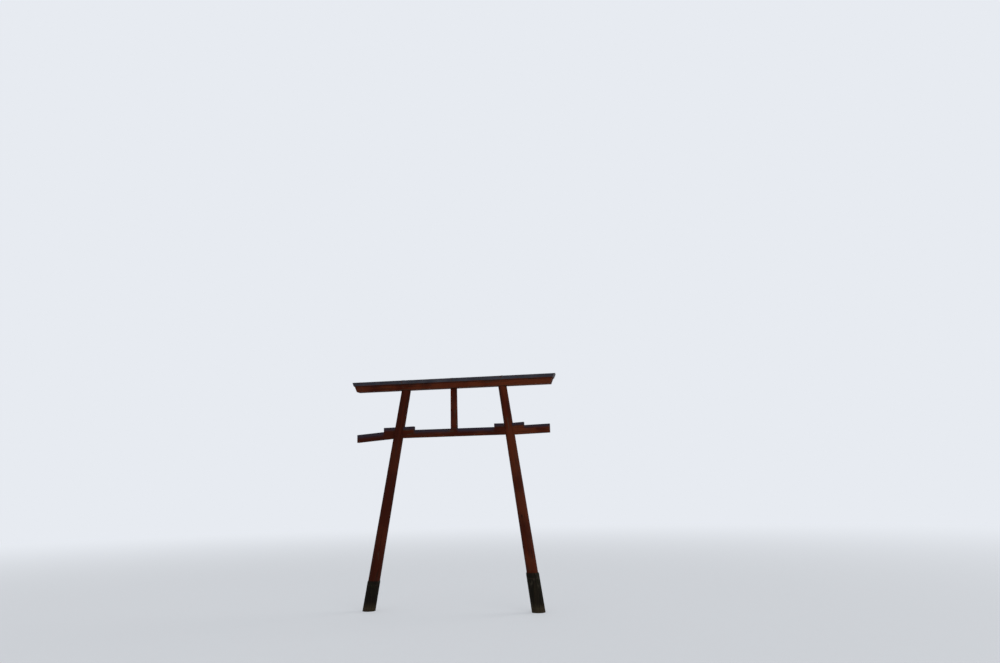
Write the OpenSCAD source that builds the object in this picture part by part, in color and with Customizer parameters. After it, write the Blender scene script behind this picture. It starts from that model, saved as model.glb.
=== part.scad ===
// Wooden shrine gate (torii) with leaning log pillars, a tie beam held by wedges,
// a double lintel under a folded metal cap, and board collars round the feet.
// Millimetres, +Z up, +X to the right seen from the front, the front faces -Y.
// The origin is the centre of the left pillar's foot.

/* [Stance] */
// Distance between the pillar centres on the ground
foot_gap = 3225; // [2400:5:4200]
// Distance between the pillar centres under the lintel
top_gap = 1907; // [1600:1:2300]
// Height of the lintel's underside over the ground
clear_h = 4114; // [3600:1:4800]
// Sideways sway of the old frame: shift of the log tops to the right
sway = 86; // [-120:1:120]

/* [Pillars] */
// Left log's diameter at its foot
left_foot_d = 230; // [190:1:260]
// Left log's diameter at the lintel
left_top_d = 180; // [150:1:200]
// Right log's diameter at its foot
right_foot_d = 222; // [190:1:260]
// Right log's diameter at the lintel
right_top_d = 164; // [150:1:200]
// Width across X of the tenon on top of each log
tenon_w = 60; // [30:1:90]
// Depth across Y of that tenon
tenon_t = 50; // [30:1:80]
// Height of that tenon
tenon_h = 60; // [20:1:80]

/* [Collars] */
// Thickness of the boards round the left foot
left_collar_t = 7; // [5:1:30]
// Thickness of the boards round the right foot
right_collar_t = 14; // [5:1:30]
// Height of the left collar
left_collar_h = 550; // [300:5:900]
// Height of the right collar
right_collar_h = 695; // [300:5:900]

/* [Tie beam] */
// Height of the tie beam's centre line
tie_z = 3271; // [2900:1:3500]
// Height of the beam's section, and of its left stub
tie_h = 150; // [110:1:170]
// Height of the right stub's section
right_stub_h = 166; // [110:1:180]
// Thickness of the beam through the logs
tie_t = 90; // [60:1:110]
// Half the length between the plumb-cut ends
tie_half = 1889; // [1500:1:2200]
// Shift of the beam's ends to the right
tie_shift = 33; // [-100:1:100]
// Fall of the left stub, in degrees, under the level beam
left_tilt = -4.2; // [-6:0.1:3]
// Rise of the right stub in degrees
right_tilt = 1.5; // [-3:0.1:4]

/* [Wedges] */
// Height of the wedges' thin ends over the beam, inside the log
wedge_tip_h = 62; // [40:1:90]
// Head heights, in order left outer, left inner, right inner, right outer
wedge_head_h = [80, 68, 66, 62];
// Reach of the wedges from the log's centre line, in the same order
wedge_reach = [293, 315, 287, 279];

/* [Strut] */
// Width of the short middle post at its foot
strut_foot_w = 130; // [90:1:180]
// Width of the post at its top
strut_top_w = 118; // [80:1:170]
// Thickness of the post
strut_t = 60; // [50:1:90]
// Shift of the post to the right
strut_shift = 85; // [-150:1:150]
// Width of the stub tenons at both of its ends
stub_w = 50; // [20:1:70]
// Thickness of the stub tenons
stub_t = 30; // [15:1:45]
// Length of the stub tenons
stub_h = 35; // [15:1:50]

/* [Lintel] */
// Half length of the lower beam along its underside
lower_half = 1909; // [1600:1:2300]
// Height of the lower beam
lower_h = 109; // [80:1:150]
// Depth of the lower beam, front to back
lower_t = 184; // [130:1:200]
// Shift of the whole lintel to the right
lintel_shift = 55; // [-100:1:100]
// Slant of the lintel's ends from plumb
end_slant = 22.5; // [0:0.5:35]
// Overhang of the upper beam past the lower one at each end
end_step = 6; // [0:1:40]
// Height of the upper beam's sides
upper_h = 74; // [66:1:110]
// Depth of the upper beam, front to back
upper_t = 220; // [180:1:280]
// Rise of its top from the sides to the ridge
ridge_rise = 18; // [5:1:60]

/* [Cap] */
// Thickness of the folded sheet
sheet_t = 2; // [1:0.5:4]
// Height of the sheet's skirts on both faces
skirt_h = 63; // [40:1:66]
// Width of the strips over the joints between lengths
strip_w = 36; // [20:1:60]

/* [Hidden] */
$fn = 96;
// Side of the gate: left is -1, right is 1
left = -1;
right = 1;
// Number of sheet lengths along the lintel
sheet_count = 4;
// Gap between faces that aren't pressed together
fit = 0.3;
// Excess of a cutting shape past what it cuts
over = 50;
foot_half = foot_gap / 2;
top_half = top_gap / 2;
tie_top = tie_z + tie_h / 2;
tie_foot = tie_z - tie_h / 2;
// Half width of the cut through a log, enough to pass its leaning faces
cut_half = max(left_foot_d, right_foot_d) / 2 + over;
upper_z = clear_h + lower_h;
eave_z = upper_z + upper_h;
skirt_z = eave_z - skirt_h;
lower_end_run = lower_h * tan(end_slant);
upper_half = lower_half + lower_end_run + end_step;
// Half length of the upper beam where its ends are longest
ridge_reach = upper_half + (upper_h + ridge_rise) * tan(end_slant);
sheet_l = 2 * upper_half / sheet_count;
vermilion = "#a83a26";
black = "#2b2a2c";
metal = "#34353a";

// Everything is laid out from the middle between the feet, and moved here so that
// the left foot stands on the origin
module placed() {
  translate([foot_half, 0, 0])
    children();
}

// A flat outline in X and Z, given a thickness along Y
module slab(points, t) {
  rotate([90, 0, 0])
    linear_extrude(height = t, center = true)
      polygon(points);
}

// Each log runs straight from its foot to its place under the swayed lintel
function foot_d(side) = side == left ? left_foot_d : right_foot_d;
function top_d(side) = side == left ? left_top_d : right_top_d;
function foot_x(side) = side * foot_half;
function top_x(side) = sway + side * top_half;
function lean(side) = atan((top_x(side) - foot_x(side)) / clear_h);
function log_x(side, z) = foot_x(side) + (top_x(side) - foot_x(side)) * z / clear_h;

// Round tapered solid along a log, with extra radius, cut level at both heights
module log_solid(side, extra, z0, z1) {
  l = clear_h / cos(lean(side));
  taper = (foot_d(side) - top_d(side)) / 2 / l;
  intersection() {
    translate([foot_x(side), 0, 0])
      rotate([0, lean(side), 0])
        translate([0, 0, -over])
          cylinder(h = l + 2 * over,
            r1 = foot_d(side) / 2 + extra + taper * over,
            r2 = top_d(side) / 2 + extra - taper * over);
    translate([side * foot_half / 2, 0, (z0 + z1) / 2])
      cube([2 * foot_gap, 2 * foot_d(side), z1 - z0], center = true);
  }
}

// Outlines round one tie joint, drawn outward from the log's centre line, which
// the joint's two halves share. The outer half turns with the stub, and both
// wedges thicken towards their heads.
function joint_x(side) = log_x(side, tie_z);
function outward(side, points) = [for (p = points) [joint_x(side) + side * p[0], p[1]]];
function tilt(side) = side == left ? left_tilt : right_tilt;
function stub_section(side) = side == left ? tie_h : right_stub_h;
function rise(side, u) = u * tan(tilt(side));
function stub_top(side, u) = tie_z + stub_section(side) / 2 + rise(side, u);
function stub_foot(side, u) = tie_z - stub_section(side) / 2 + rise(side, u);
// Place of a wedge in the lists of head heights and reaches
function place(side, outer) = (side == left ? 0 : 2) + (outer == (side == left) ? 0 : 1);
function head_h(side, outer) = wedge_head_h[place(side, outer)];
function reach(side, outer) = wedge_reach[place(side, outer)];
// Underside of the log over the wedges: it climbs both ways to their heads
roof_z = tie_top + wedge_tip_h;
function outer_head_z(side) = stub_top(side, reach(side, true)) + head_h(side, true);
function inner_head_z(side) = tie_top + head_h(side, false);
function roof(side, u) = u > 0
  ? roof_z + (outer_head_z(side) - roof_z) * u / reach(side, true)
  : roof_z - (inner_head_z(side) - roof_z) * u / reach(side, false);

// The hole through a log for beam, stub and both wedges
module tie_hole(side) {
  slab(outward(side, [
    [-cut_half, tie_foot],
    [0, tie_foot],
    [0, stub_foot(side, 0)],
    [cut_half, stub_foot(side, cut_half)],
    [cut_half, roof(side, cut_half)],
    [0, roof_z],
    [-cut_half, roof(side, -cut_half)]
  ]), tie_t + 2 * fit);
}

module pillar(side) {
  placed() {
    difference() {
      log_solid(side, 0, 0, clear_h);
      tie_hole(side);
    }
    translate([top_x(side), 0, clear_h + (tenon_h - over) / 2])
      cube([tenon_w, tenon_t, tenon_h + over], center = true);
  }
}

module collar(side, t, h) {
  placed()
    difference() {
      log_solid(side, t, 0, h);
      log_solid(side, fit, -over, h + over);
    }
}

module tie_stub(side) {
  u1 = side * (tie_shift - joint_x(side)) + tie_half;
  placed()
    slab(outward(side, [
      [fit, stub_foot(side, fit)],
      [u1, stub_foot(side, u1)],
      [u1, stub_top(side, u1)],
      [fit, stub_top(side, fit)]
    ]), tie_t);
}

module outer_wedge(side) {
  u1 = reach(side, true);
  placed()
    slab(outward(side, [
      [fit, stub_top(side, fit)],
      [u1, stub_top(side, u1)],
      [u1, outer_head_z(side)],
      [fit, roof(side, fit)]
    ]), tie_t);
}

module inner_wedge(side) {
  u1 = -reach(side, false);
  placed()
    slab(outward(side, [
      [-fit, tie_top],
      [u1, tie_top],
      [u1, inner_head_z(side)],
      [-fit, roof(side, -fit)]
    ]), tie_t);
}

// Socket for a tenon, open on one face and a little deeper than the tenon
module socket(w, t, h) {
  translate([0, 0, (h + fit) / 2])
    cube([w + 2 * fit, t + 2 * fit, h + fit], center = true);
}

module left_pillar() { color(vermilion) pillar(left); }
module right_pillar() { color(vermilion) pillar(right); }
module left_collar() { color(black) collar(left, left_collar_t, left_collar_h); }
module right_collar() { color(black) collar(right, right_collar_t, right_collar_h); }

module tie_beam() {
  x0 = joint_x(left) + fit;
  x1 = joint_x(right) - fit;
  color(vermilion)
    placed()
      difference() {
        slab([[x0, tie_foot], [x1, tie_foot], [x1, tie_top], [x0, tie_top]], tie_t);
        translate([strut_shift, 0, tie_top])
          mirror([0, 0, 1])
            socket(stub_w, stub_t, stub_h);
      }
}

module left_tie_stub() { color(vermilion) tie_stub(left); }
module right_tie_stub() { color(vermilion) tie_stub(right); }
module left_outer_wedge() { color(vermilion) outer_wedge(left); }
module left_inner_wedge() { color(vermilion) inner_wedge(left); }
module right_inner_wedge() { color(vermilion) inner_wedge(right); }
module right_outer_wedge() { color(vermilion) outer_wedge(right); }

module strut() {
  color(vermilion)
    placed()
      translate([strut_shift, 0, 0]) {
        slab([
          [-strut_foot_w / 2, tie_top],
          [strut_foot_w / 2, tie_top],
          [strut_top_w / 2, clear_h],
          [-strut_top_w / 2, clear_h]
        ], strut_t);
        translate([0, 0, (tie_top + clear_h) / 2])
          cube([stub_w, stub_t, clear_h - tie_top + 2 * stub_h], center = true);
      }
}

module lower_lintel() {
  top_reach = lower_half + lower_end_run;
  color(vermilion)
    placed()
      difference() {
        translate([lintel_shift, 0, 0])
          slab([
            [-lower_half, clear_h],
            [lower_half, clear_h],
            [top_reach, upper_z],
            [-top_reach, upper_z]
          ], lower_t);
        for (side = [left, right])
          translate([top_x(side), 0, clear_h])
            socket(tenon_w, tenon_t, tenon_h);
        translate([strut_shift, 0, clear_h])
          socket(stub_w, stub_t, stub_h);
      }
}

// The upper beam and its cap are drawn round the lintel's own middle
module on_lintel() {
  placed()
    translate([lintel_shift, 0, 0])
      children();
}

// Space between the slanted ends, from z0 to z1, grown by extra at each end
module between_ends(z0, z1, extra) {
  reach0 = upper_half + extra + (z0 - upper_z) * tan(end_slant);
  reach1 = upper_half + extra + (z1 - upper_z) * tan(end_slant);
  slab([[-reach0, z0], [reach0, z0], [reach1, z1], [-reach1, z1]], 2 * upper_t);
}

// Cross-section of the upper beam in Y and Z, grown by extra
module upper_outline(extra, z0) {
  polygon([
    [-upper_t / 2 - extra, z0],
    [upper_t / 2 + extra, z0],
    [upper_t / 2 + extra, eave_z + extra],
    [0, eave_z + ridge_rise + extra],
    [-upper_t / 2 - extra, eave_z + extra]
  ]);
}

// A cross-section drawn out along X
module along_lintel(x0, x1) {
  translate([x0, 0, 0])
    rotate([90, 0, 90])
      linear_extrude(height = x1 - x0)
        children();
}

module upper_lintel() {
  color(vermilion)
    on_lintel()
      intersection() {
        along_lintel(-ridge_reach, ridge_reach)
          upper_outline(0, upper_z);
        between_ends(upper_z - over, eave_z + over, 0);
      }
}

// Folded sheet with the upper beam's outline, of a given thickness over a base layer
module fold(x0, x1, base, t) {
  along_lintel(x0, x1)
    difference() {
      upper_outline(base + t, skirt_z);
      upper_outline(base, skirt_z - over);
    }
}

module cap_sheet(i) {
  x0 = i == 1 ? -ridge_reach - over : -upper_half + (i - 1) * sheet_l + fit;
  x1 = i == sheet_count ? ridge_reach + over : -upper_half + i * sheet_l;
  color(metal)
    on_lintel()
      intersection() {
        fold(x0, x1, 0, sheet_t);
        between_ends(skirt_z - over, eave_z + over, 0);
      }
}

module cap_strip(i) {
  x = -upper_half + i * sheet_l;
  color(metal)
    on_lintel()
      fold(x - strip_w / 2, x + strip_w / 2, sheet_t, sheet_t);
}

module cap_end(side) {
  color(metal)
    on_lintel()
      intersection() {
        along_lintel(side == left ? -ridge_reach - over : 0, side == left ? 0 : ridge_reach + over)
          upper_outline(sheet_t, skirt_z);
        difference() {
          between_ends(skirt_z - over, eave_z + over, sheet_t);
          between_ends(skirt_z - 2 * over, eave_z + 2 * over, 0);
        }
      }
}

module cap_sheet_1() { cap_sheet(1); }
module cap_sheet_2() { cap_sheet(2); }
module cap_sheet_3() { cap_sheet(3); }
module cap_sheet_4() { cap_sheet(4); }
module cap_strip_1() { cap_strip(1); }
module cap_strip_2() { cap_strip(2); }
module cap_strip_3() { cap_strip(3); }
module left_cap_end() { cap_end(left); }
module right_cap_end() { cap_end(right); }

left_pillar();
right_pillar();
left_collar();
right_collar();
tie_beam();
left_tie_stub();
right_tie_stub();
left_outer_wedge();
left_inner_wedge();
right_inner_wedge();
right_outer_wedge();
strut();
lower_lintel();
upper_lintel();
cap_sheet_1();
cap_sheet_2();
cap_sheet_3();
cap_sheet_4();
cap_strip_1();
cap_strip_2();
cap_strip_3();
left_cap_end();
right_cap_end();
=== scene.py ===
import math
import random

import bmesh
import bpy
import numpy as np
from mathutils import Matrix, Vector, noise


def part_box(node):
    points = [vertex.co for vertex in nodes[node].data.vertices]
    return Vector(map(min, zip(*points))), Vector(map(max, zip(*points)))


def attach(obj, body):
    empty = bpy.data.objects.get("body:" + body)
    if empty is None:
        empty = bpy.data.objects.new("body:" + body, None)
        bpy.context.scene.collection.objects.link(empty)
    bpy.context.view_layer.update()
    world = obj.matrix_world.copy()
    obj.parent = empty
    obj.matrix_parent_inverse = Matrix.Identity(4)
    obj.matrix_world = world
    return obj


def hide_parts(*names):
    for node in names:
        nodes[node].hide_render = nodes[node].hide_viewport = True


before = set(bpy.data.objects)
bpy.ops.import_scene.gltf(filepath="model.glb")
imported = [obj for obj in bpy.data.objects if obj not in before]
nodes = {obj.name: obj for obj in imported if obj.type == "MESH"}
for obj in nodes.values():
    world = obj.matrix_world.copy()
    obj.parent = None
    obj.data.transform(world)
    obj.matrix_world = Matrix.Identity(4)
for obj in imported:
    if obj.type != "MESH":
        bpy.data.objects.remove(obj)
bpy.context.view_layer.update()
print("frame loaded:", len(nodes), "nodes")

# stance of the two logs, which the collars, cracks and grain follow
stance = {
    "left": {"foot": 0.0, "top": 0.745, "footRadius": 0.115, "topRadius": 0.090},
    "right": {"foot": 3.225, "top": 2.652, "footRadius": 0.111, "topRadius": 0.082},
    "height": 4.114,
}


def slopeOf(side):
    return (stance[side]["top"] - stance[side]["foot"]) / stance["height"]


def logRadius(side, z):
    t = z / stance["height"]
    return stance[side]["footRadius"] * (1 - t) + stance[side]["topRadius"] * t


# node trees written as plain expressions
class Wire:
    # an output socket that takes part in sums and products
    def __init__(self, sheet, socket):
        self.sheet, self.socket = sheet, socket

    def maths(self, operation, *others):
        return self.sheet.node("ShaderNodeMath", {"operation": operation}, [self, *others])

    def __add__(self, other):
        return self.maths("ADD", other)

    def __mul__(self, other):
        return self.maths("MULTIPLY", other)

    def __sub__(self, other):
        return self.maths("SUBTRACT", other)

    def __rsub__(self, other):
        return self.sheet.node("ShaderNodeMath", {"operation": "SUBTRACT"}, [other, self])

    def __truediv__(self, other):
        return self.maths("DIVIDE", other)

    def __abs__(self):
        return self.maths("ABSOLUTE")

    __radd__ = __add__
    __rmul__ = __mul__


class Sheet:
    # a node tree that grows one node at a time: type, settings, then the sockets
    def __init__(self, tree):
        self.tree = tree

    def node(self, kind, settings=None, inputs=None, out=0):
        made = self.tree.nodes.new(kind)
        for name, value in (settings or {}).items():
            setattr(made, name, value)
        pairs = inputs.items() if isinstance(inputs, dict) else enumerate(inputs or [])
        for key, value in pairs:
            if isinstance(value, Wire):
                self.tree.links.new(value.socket, made.inputs[key])
            else:
                made.inputs[key].default_value = value
        return Wire(self, made.outputs[out]) if made.outputs else None

    def parts(self, vector):
        first = self.node("ShaderNodeSeparateXYZ", None, [vector])
        made = first.socket.node
        return [Wire(self, made.outputs[i]) for i in range(3)]

    def join(self, x, y, z):
        return self.node("ShaderNodeCombineXYZ", None, [x, y, z])

    def step(self, value, low, high):
        return self.node("ShaderNodeMapRange", {"interpolation_type": "SMOOTHSTEP"},
                         {"Value": value, "From Min": low, "From Max": high})

    def blend(self, amount, first, second):
        return self.node("ShaderNodeMix", {"data_type": "RGBA"},
                         {0: amount, 6: colour(first), 7: colour(second)}, out=2)

    def grains(self, vector, scale, detail, roughness):
        return self.node("ShaderNodeTexNoise", None,
                         {"Vector": vector, "Scale": scale, "Detail": detail, "Roughness": roughness})

    def drawn(self, x, y, z, detail, roughness):
        # noise that is stretched or squeezed along each axis
        return self.grains(self.join(x, y, z), 1.0, detail, roughness)

    def store(self, geometry, name, value, domain="POINT"):
        return self.node("GeometryNodeStoreNamedAttribute", {"data_type": "FLOAT", "domain": domain},
                         {"Geometry": geometry, "Name": name, "Value": value})

    def mark(self, name):
        # a value that the mesh carries at each point
        return self.node("ShaderNodeAttribute", {"attribute_name": name}, out=2)


def colour(value):
    return value if isinstance(value, Wire) else (*value, 1.0)


def newFinish(name):
    # a material, its empty sheet and the object coordinates in it
    made = bpy.data.materials.new(name)
    made.use_nodes = True
    made.node_tree.nodes.clear()
    sheet = Sheet(made.node_tree)
    return made, sheet, sheet.node("ShaderNodeTexCoord", out=3)


def closeFinish(sheet, base, rough, height, bump, reach, gloss=0.5, **plain):
    normal = sheet.node("ShaderNodeBump", None, {"Strength": bump, "Distance": reach, "Height": height})
    shader = sheet.node("ShaderNodeBsdfPrincipled", None, {
        "Base Color": base, "Roughness": rough, "Specular IOR Level": gloss, "Normal": normal, **plain})
    sheet.node("ShaderNodeOutputMaterial", None, [shader])


# finishes: tones first, then how each one is put together
paintTones = {
    "red": (0.070, 0.0085, 0.0020),
    # paler red of sun-bleached patches, also used for the painted light on the right-hand ends
    "fadedAndLit": (0.114, 0.027, 0.0090),
    "deep": (0.031, 0.0048, 0.0016),
    "bare": (0.070, 0.043, 0.026),
    "split": (0.005, 0.003, 0.002),
    "splitPale": (0.030, 0.017, 0.010),
    "grime": (0.013, 0.0085, 0.0065),
    # bluish dark of the band along the upper edges: rain stain together with a painted reflection of the sky
    "soakedAndSky": (0.0250, 0.0208, 0.0310),
}


def redPaint(name, along, side, wear, seed):
    made, sheet, point = newFinish(name)
    # u runs along the timber, v and w across it
    x, y, height = sheet.parts(point)
    lean = slopeOf(side) if side else 0.0
    u, v, w = (height, x - height * lean, y) if along == "z" else (x, height, y)
    sideways = v if along == "z" else u
    u = u + seed
    edge = sheet.mark("edge")
    broad = sheet.drawn(u * 0.8, v * 17.0, w * 17.0, 4.0, 0.55)
    fibre = sheet.drawn(u * 5.0, v * 170.0, w * 170.0, 3.0, 0.6)
    patch = sheet.drawn(u * 3.2, v * 15.0, w * 15.0, 5.0, 0.62)
    cloud = sheet.grains(point, 1.9, 3.0, 0.5)
    hair = sheet.drawn(u * 0.9, v * 31.0, w * 31.0, 2.0, 0.4)
    gate = sheet.drawn(u * 1.6, v * 5.0, w * 5.0, 2.0, 0.5)
    splits = (1.0 - sheet.step(abs(hair - 0.5), 0.0015, 0.010)) * sheet.step(gate, 0.46, 0.60)
    runs = sheet.drawn(u * (9.0 if along == "x" else 1.1), v * 13.0, w * 13.0, 4.0, 0.6)
    foot = 1.0 - sheet.step(height, 0.45, 1.25) if side else 0.0
    wetAndSky = sheet.mark("wetAndSky")
    knot = sheet.mark("knot")
    drips = sheet.drawn(sideways * 38.0, w * 30.0, height * 2.2, 4.0, 0.6)
    worn = sheet.step(patch + edge * 0.17 + fibre * 0.16 + foot * 0.035 + knot * 0.07 + wear, 0.735, 0.80)
    base = sheet.blend(sheet.step(broad, 0.30, 0.74), paintTones["deep"], paintTones["red"])
    # painted shade darkens the red of the left-hand pieces and of the feet of the logs; painted light pales
    # the right-hand ends and the top of the right log
    lightening = sheet.mark("lightening")
    paintedShade = sheet.mark("paintedShade")
    base = sheet.blend(paintedShade, base, paintTones["deep"])
    # random sun-bleached patches, with painted light added towards the right-hand ends and the top of the
    # right log
    bleachedAndLit = sheet.step(cloud + lightening * 0.30, 0.42, 0.70) * (0.55 + lightening * 0.3) * (1.0 - paintedShade * 0.80)
    base = sheet.blend(bleachedAndLit, base, paintTones["fadedAndLit"])
    base = sheet.blend(sheet.step(fibre, 0.50, 0.80) * 0.38, base, paintTones["grime"])
    base = sheet.blend(sheet.step(runs, 0.54, 0.76) * 0.55, base, paintTones["grime"])
    # the band along the upper edges and over the wedges: rain stain with a painted bluish reflection of the
    # sky
    base = sheet.blend(sheet.step(wetAndSky * (0.65 + drips * 0.7), 0.10, 0.80) * 0.92, base, paintTones["soakedAndSky"])
    base = sheet.blend(worn * 0.85, base, sheet.blend(fibre, paintTones["bare"], paintTones["grime"]))
    base = sheet.blend(sheet.step(knot, 0.20, 0.75) * 0.7, base, paintTones["grime"])
    base = sheet.blend(splits * 0.9, base, paintTones["split"])
    relief = broad * 0.35 + fibre * 0.30 + knot * 0.5 - splits * 0.9 - worn * 0.30
    if along == "x":
        # yearly rings round the heart, only where a face looks along the beam
        facing = sheet.parts(sheet.node("ShaderNodeTexCoord", out=1))[0]
        sawn = sheet.step(abs(facing), 0.80, 0.90)
        across, up = w, sheet.mark("heart")
        wander = sheet.grains(point, 14.0, 3.0, 0.5)
        ring = ((across * across + up * up).maths("SQRT") * 1500.0 + wander * 16.0).maths("SINE") * 0.5 + 0.5
        base = sheet.blend(sawn * ring * 0.55, base, paintTones["grime"])
        relief = relief + sawn * ring * 0.5
    closeFinish(sheet, base, 0.60 + worn * 0.24 + broad * 0.12, relief, 0.75, 0.003, gloss=0.05)
    return made


def splitWood():
    made, sheet, point = newFinish("splitWood")
    specks = sheet.grains(point, 60.0, 4.0, 0.6)
    base = sheet.blend(specks, paintTones["split"], paintTones["splitPale"])
    closeFinish(sheet, base, 0.85 + specks * 0.1, specks, 0.4, 0.002, gloss=0.06)
    return made


boardTones = {
    "black": (0.0058, 0.0046, 0.0032),
    "brown": (0.0155, 0.0112, 0.0066),
    "silver": (0.058, 0.050, 0.037),
    "moss": (0.0135, 0.0150, 0.0060),
    "soil": (0.040, 0.029, 0.017),
}


def blackBoards():
    made, sheet, point = newFinish("blackBoards")
    x, y, z = sheet.parts(point)
    own = sheet.mark("board")
    edge = sheet.mark("edge")
    fibre = sheet.drawn(x * 130.0, y * 130.0, z * 4.0 + own * 9.0, 3.0, 0.6)
    streak = sheet.drawn(x * 26.0, y * 26.0, z * 1.3 + own * 5.0, 4.0, 0.55)
    patch = sheet.drawn(x * 18.0, y * 18.0, z * 5.0 + own * 3.0, 5.0, 0.65)
    green = sheet.grains(point, 7.0, 4.0, 0.6)
    low = 1.0 - sheet.step(z + green * 0.10, 0.07, 0.24)
    worn = sheet.step(patch + edge * 0.20 + fibre * 0.14 + low * 0.05, 0.70, 0.80)
    base = sheet.blend(sheet.step(streak, 0.40, 0.68), boardTones["black"], boardTones["brown"])
    base = sheet.blend(own * 0.35, base, boardTones["black"])
    # painted shade: the left collar is darkened towards the black
    base = sheet.blend(sheet.mark("paintedShade"), base, boardTones["black"])
    base = sheet.blend(worn * 0.75, base, sheet.blend(fibre, boardTones["silver"], boardTones["brown"]))
    base = sheet.blend(sheet.step(green, 0.48, 0.66) * (0.25 + low * 0.4), base, boardTones["moss"])
    base = sheet.blend(low * 0.65, base, boardTones["soil"])
    relief = streak * 0.4 + fibre * 0.35 - worn * 0.25 + green * 0.2
    closeFinish(sheet, base, 0.70 + worn * 0.15 + low * 0.1, relief, 0.6, 0.003, gloss=0.05)
    return made


sheetTones = {
    # the black and the chalky patches are lighter and bluer than black paint: chalky weathering together with
    # a painted reflection of the sky
    "black": (0.0170, 0.0160, 0.0240),
    "chalkAndSky": (0.039, 0.037, 0.048),
    "rust": (0.050, 0.019, 0.008),
    "dust": (0.038, 0.033, 0.031),
    "lichen": (0.060, 0.062, 0.050),
}


def blackSheet():
    made, sheet, point = newFinish("blackSheet")
    x, y, z = sheet.parts(point)
    edge = sheet.mark("edge")
    cloud = sheet.grains(point, 2.6, 4.0, 0.55)
    runs = sheet.drawn(x * 34.0, y * 5.0, z * 3.0, 4.0, 0.6)
    speck = sheet.grains(point, 85.0, 4.0, 0.7)
    rust = sheet.step(sheet.grains(point, 16.0, 5.0, 0.7) + edge * 0.16 + speck * 0.10, 0.70, 0.79)
    base = sheet.blend(sheet.step(cloud, 0.38, 0.68), sheetTones["black"], sheetTones["chalkAndSky"])
    base = sheet.blend(sheet.step(runs, 0.50, 0.72) * 0.6, base, sheetTones["dust"])
    lichen = sheet.step(sheet.grains(point, 9.0, 5.0, 0.75) + speck * 0.12, 0.68, 0.74)
    base = sheet.blend(lichen * 0.5, base, sheetTones["lichen"])
    base = sheet.blend(sheet.step(speck, 0.60, 0.72) * 0.35, base, sheetTones["chalkAndSky"])
    base = sheet.blend(rust * 0.8, base, sheetTones["rust"])
    rough = 0.42 + cloud * 0.16 + rust * 0.3 + runs * 0.08
    closeFinish(sheet, base, rough, speck * 0.3 + rust * 0.5 + cloud, 0.25, 0.002, gloss=0.20)
    return made


ironTones = {"plain": (0.034, 0.030, 0.028), "rust": (0.105, 0.040, 0.018)}


def nailIron():
    made, sheet, point = newFinish("nailIron")
    speck = sheet.grains(point, 240.0, 3.0, 0.6)
    rust = sheet.step(speck + sheet.grains(point, 31.0, 2.0, 0.5) * 0.5, 0.66, 0.86)
    base = sheet.blend(rust, ironTones["plain"], ironTones["rust"])
    closeFinish(sheet, base, 0.48 + rust * 0.35, speck, 0.3, 0.001, Metallic=0.6 - rust * 0.5)
    return made


finishes = {
    "leftLog": redPaint("leftLogPaint", "z", "left", 0.0, 0.0),
    "rightLog": redPaint("rightLogPaint", "z", "right", 0.0, 7.3),
    "beams": redPaint("beamPaint", "x", None, 0.0, 3.1),
    "strut": redPaint("strutPaint", "z", None, 0.01, 1.7),
    "split": splitWood(),
    "boards": blackBoards(),
    "sheet": blackSheet(),
    "iron": nailIron(),
}
print("finishes made:", len(finishes))


# mesh work that several pieces share
meshSpec = {"weld": 2e-5, "flat": math.radians(1.0), "sliver": 3e-5}


def show(name, bm):
    mesh = bpy.data.meshes.new(name)
    bm.to_mesh(mesh)
    bm.free()
    made = bpy.data.objects.new(name, mesh)
    bpy.context.scene.collection.objects.link(made)
    return made


def solidOf(node, flat=True):
    # a CAD node's loose triangles welded to a solid, and with flat joined to whole faces
    bm = bmesh.new()
    bm.from_mesh(nodes[node].data)
    bmesh.ops.remove_doubles(bm, verts=bm.verts, dist=meshSpec["weld"])
    bmesh.ops.recalc_face_normals(bm, faces=bm.faces)
    if flat:
        bmesh.ops.dissolve_limit(bm, angle_limit=meshSpec["flat"], verts=bm.verts, edges=bm.edges)
    return bm


def frozen(made):
    # the evaluated shape as a plain mesh, with no modifier left
    depsgraph = bpy.context.evaluated_depsgraph_get()
    mesh = bpy.data.meshes.new_from_object(made.evaluated_get(depsgraph), preserve_all_data_layers=True,
                                           depsgraph=depsgraph)
    made.modifiers.clear()
    old = made.data
    made.data = mesh
    bpy.data.meshes.remove(old)
    mesh.name = made.name
    return made


def closeSlivers(made):
    # where a split runs out, faces thinner than a hair fold flat: both sides of a fold go
    bm = bmesh.new()
    bm.from_mesh(made.data)
    bmesh.ops.triangulate(bm, faces=bm.faces)
    bmesh.ops.dissolve_degenerate(bm, dist=meshSpec["sliver"], edges=bm.edges)
    bm.verts.index_update()
    sides = {}
    for face in bm.faces:
        sides.setdefault(frozenset(v.index for v in face.verts), []).append(face)
    bmesh.ops.delete(bm, geom=[f for pair in sides.values() if len(pair) > 1 for f in pair], context="FACES")
    bm.to_mesh(made.data)
    bm.free()


def cut(made, tool, operation="DIFFERENCE"):
    step = made.modifiers.new("cut", "BOOLEAN")
    step.operation, step.solver, step.object = operation, "EXACT", tool
    step.material_mode = "TRANSFER"
    frozen(made)
    bpy.data.objects.remove(tool)
    closeSlivers(made)


def smoothSides(made, degrees):
    made.data.polygons.foreach_set("use_smooth", [True] * len(made.data.polygons))
    made.data.set_sharp_from_angle(angle=math.radians(degrees))


def segmentsOf(bm, degrees=25):
    # sharp edges of the plain solid, from which wear on the edges is measured
    return [(e.verts[0].co.copy(), e.verts[1].co.copy()) for e in bm.edges
            if len(e.link_faces) == 2 and e.calc_face_angle(0) > math.radians(degrees)]


def mark(made, name, values):
    # one number for each point of the mesh, which a finish reads by its name
    made.data.attributes.new(name, "FLOAT", "POINT").data.foreach_set("value", values)


def marked(made, name):
    values = np.zeros(len(made.data.vertices))
    made.data.attributes[name].data.foreach_get("value", values)
    return values


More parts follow.
